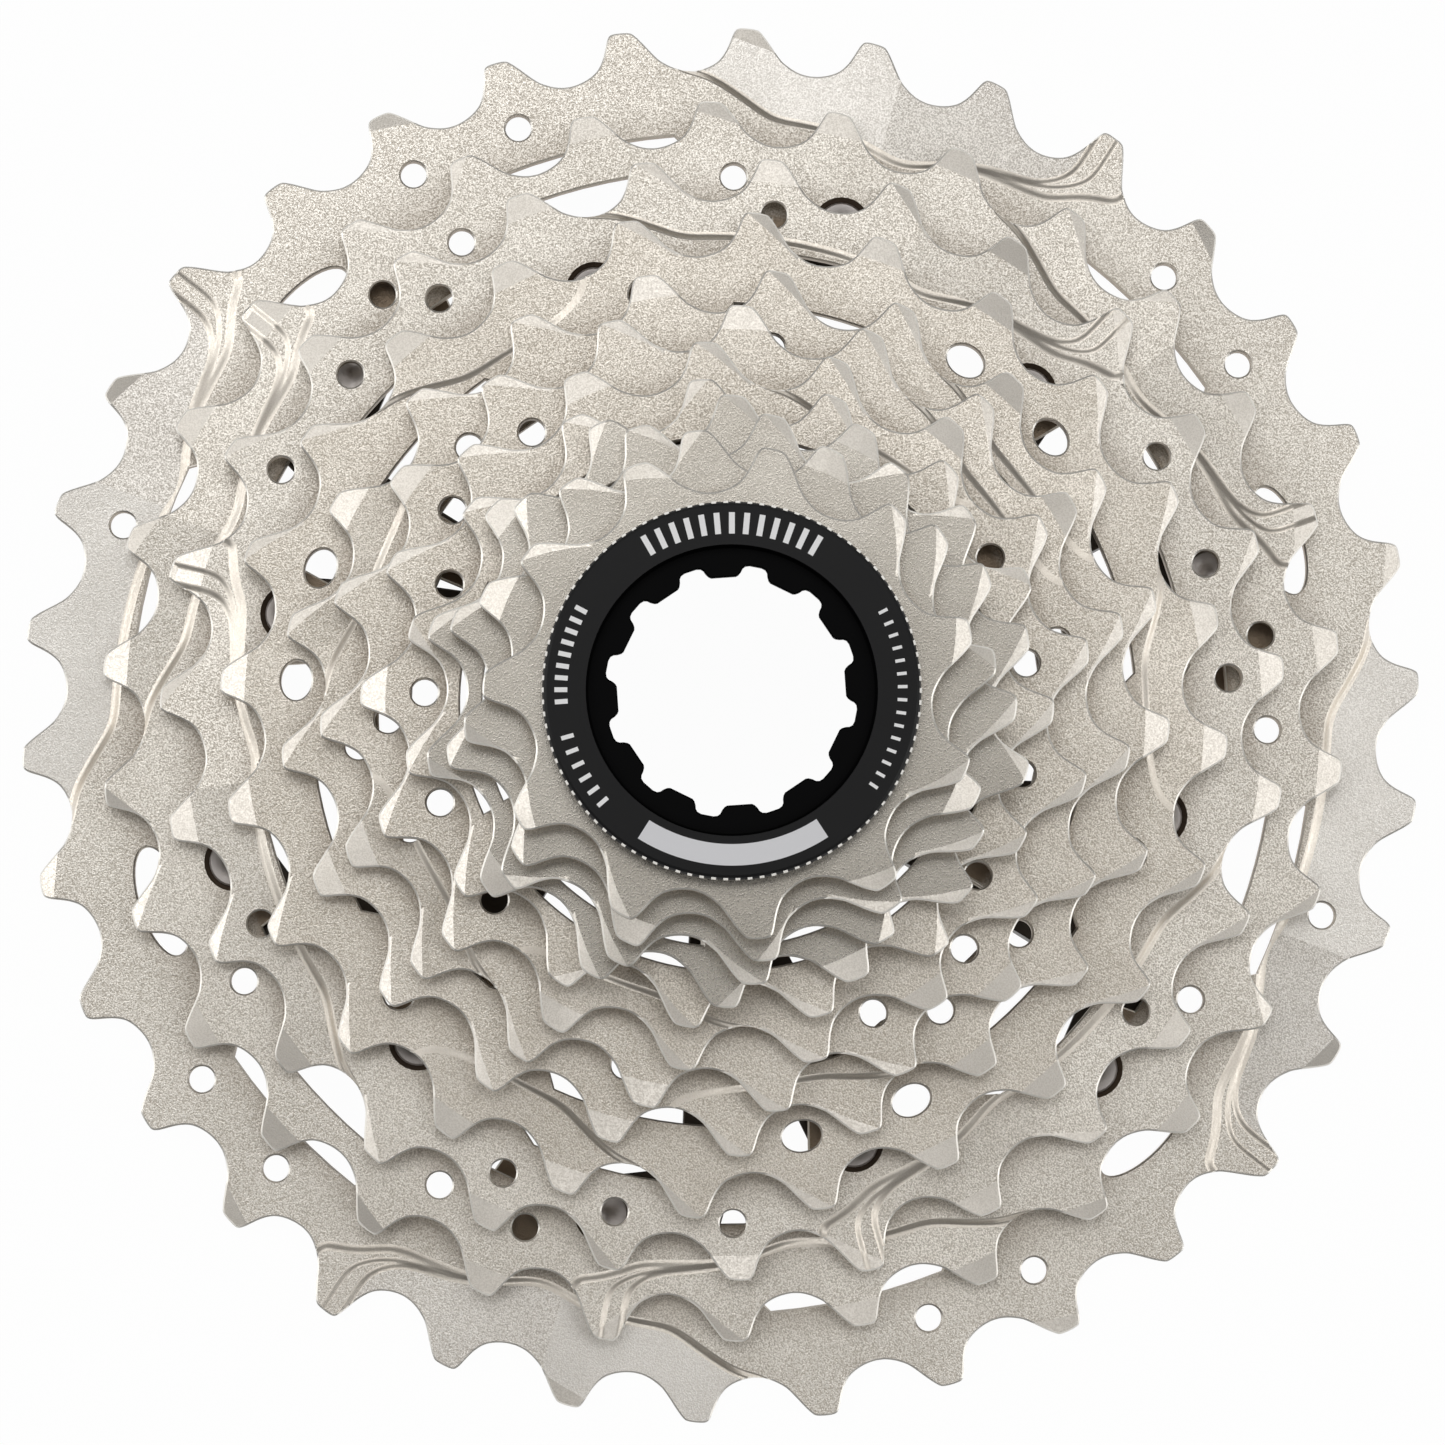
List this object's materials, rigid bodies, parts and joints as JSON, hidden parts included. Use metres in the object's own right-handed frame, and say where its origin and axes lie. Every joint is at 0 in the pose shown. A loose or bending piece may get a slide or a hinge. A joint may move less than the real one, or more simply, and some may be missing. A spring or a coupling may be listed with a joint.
{
  "type": "bicycle cassette",
  "caption": "Road bicycle cassette: a cone-shaped stack of toothed steel sprockets on spider carriers, with spacers and a black lockring that unscrews",
  "frame": {"origin": "on the stack's axis, on the plane of the largest sprocket's back face", "axes": "+Z runs along the axis from the largest sprocket to the lockring, +Y is up in the picture, +X is to its right"},
  "size_m": [0.1388, 0.1388, 0.0444],
  "materials": {
    "sprocket_steel": "bead-blasted nickel plate",
    "carrier_graphite": "dark anodised",
    "spacer_alloy": "satin",
    "rivet_steel": "satin",
    "lockring_black": "black satin"
  },
  "bodies": {
    "sprocket_stack": {"sprocket_34t": "sprocket_steel", "sprocket_30t": "sprocket_steel", "sprocket_27t": "sprocket_steel", "sprocket_24t": "sprocket_steel", "sprocket_21t": "sprocket_steel", "sprocket_19t": "sprocket_steel", "sprocket_17t": "sprocket_steel", "sprocket_15t": "sprocket_steel", "sprocket_14t": "sprocket_steel", "sprocket_13t": "sprocket_steel", "sprocket_12t": "sprocket_steel", "sprocket_11t": "sprocket_steel", "rear_carrier": "carrier_graphite", "front_carrier": "carrier_graphite", "spacer_21_19": "spacer_alloy", "spacer_19_17": "spacer_alloy", "spacer_17_15": "spacer_alloy", "spacer_15_14": "spacer_alloy", "spacer_14_13": "spacer_alloy", "spacer_13_12": "spacer_alloy", "rear_rivet_1": "rivet_steel", "rear_rivet_2": "rivet_steel", "rear_rivet_3": "rivet_steel", "rear_rivet_4": "rivet_steel", "rear_rivet_5": "rivet_steel", "rear_rivet_6": "rivet_steel", "front_rivet_1": "rivet_steel", "front_rivet_2": "rivet_steel", "front_rivet_3": "rivet_steel", "front_rivet_4": "rivet_steel", "front_rivet_5": "rivet_steel", "front_rivet_6": "rivet_steel", "inner_rivet_1": "rivet_steel", "inner_rivet_2": "rivet_steel", "inner_rivet_3": "rivet_steel", "inner_rivet_4": "rivet_steel", "inner_rivet_5": "rivet_steel", "inner_rivet_6": "rivet_steel"},
    "lockring_washer": {"lockring_washer": "spacer_alloy"},
    "lockring": {"lockring": "lockring_black"}
  },
  "joints": [
    {"name": "lockring_lift", "type": "slide", "parent": "sprocket_stack", "child": "lockring_washer", "axis": [0, 0, 1], "range_m": [0, 0.00635]},
    {"name": "lockring_turn", "type": "hinge", "parent": "lockring_washer", "child": "lockring", "pos_m": [0, 0, 0.0424], "axis": [0, 0, 1], "range_deg": [0, 2160]}
  ],
  "couplings": [
    {"joint": "lockring_lift", "follows": "lockring_turn", "m_per_rad": 0.00016839}
  ]
}
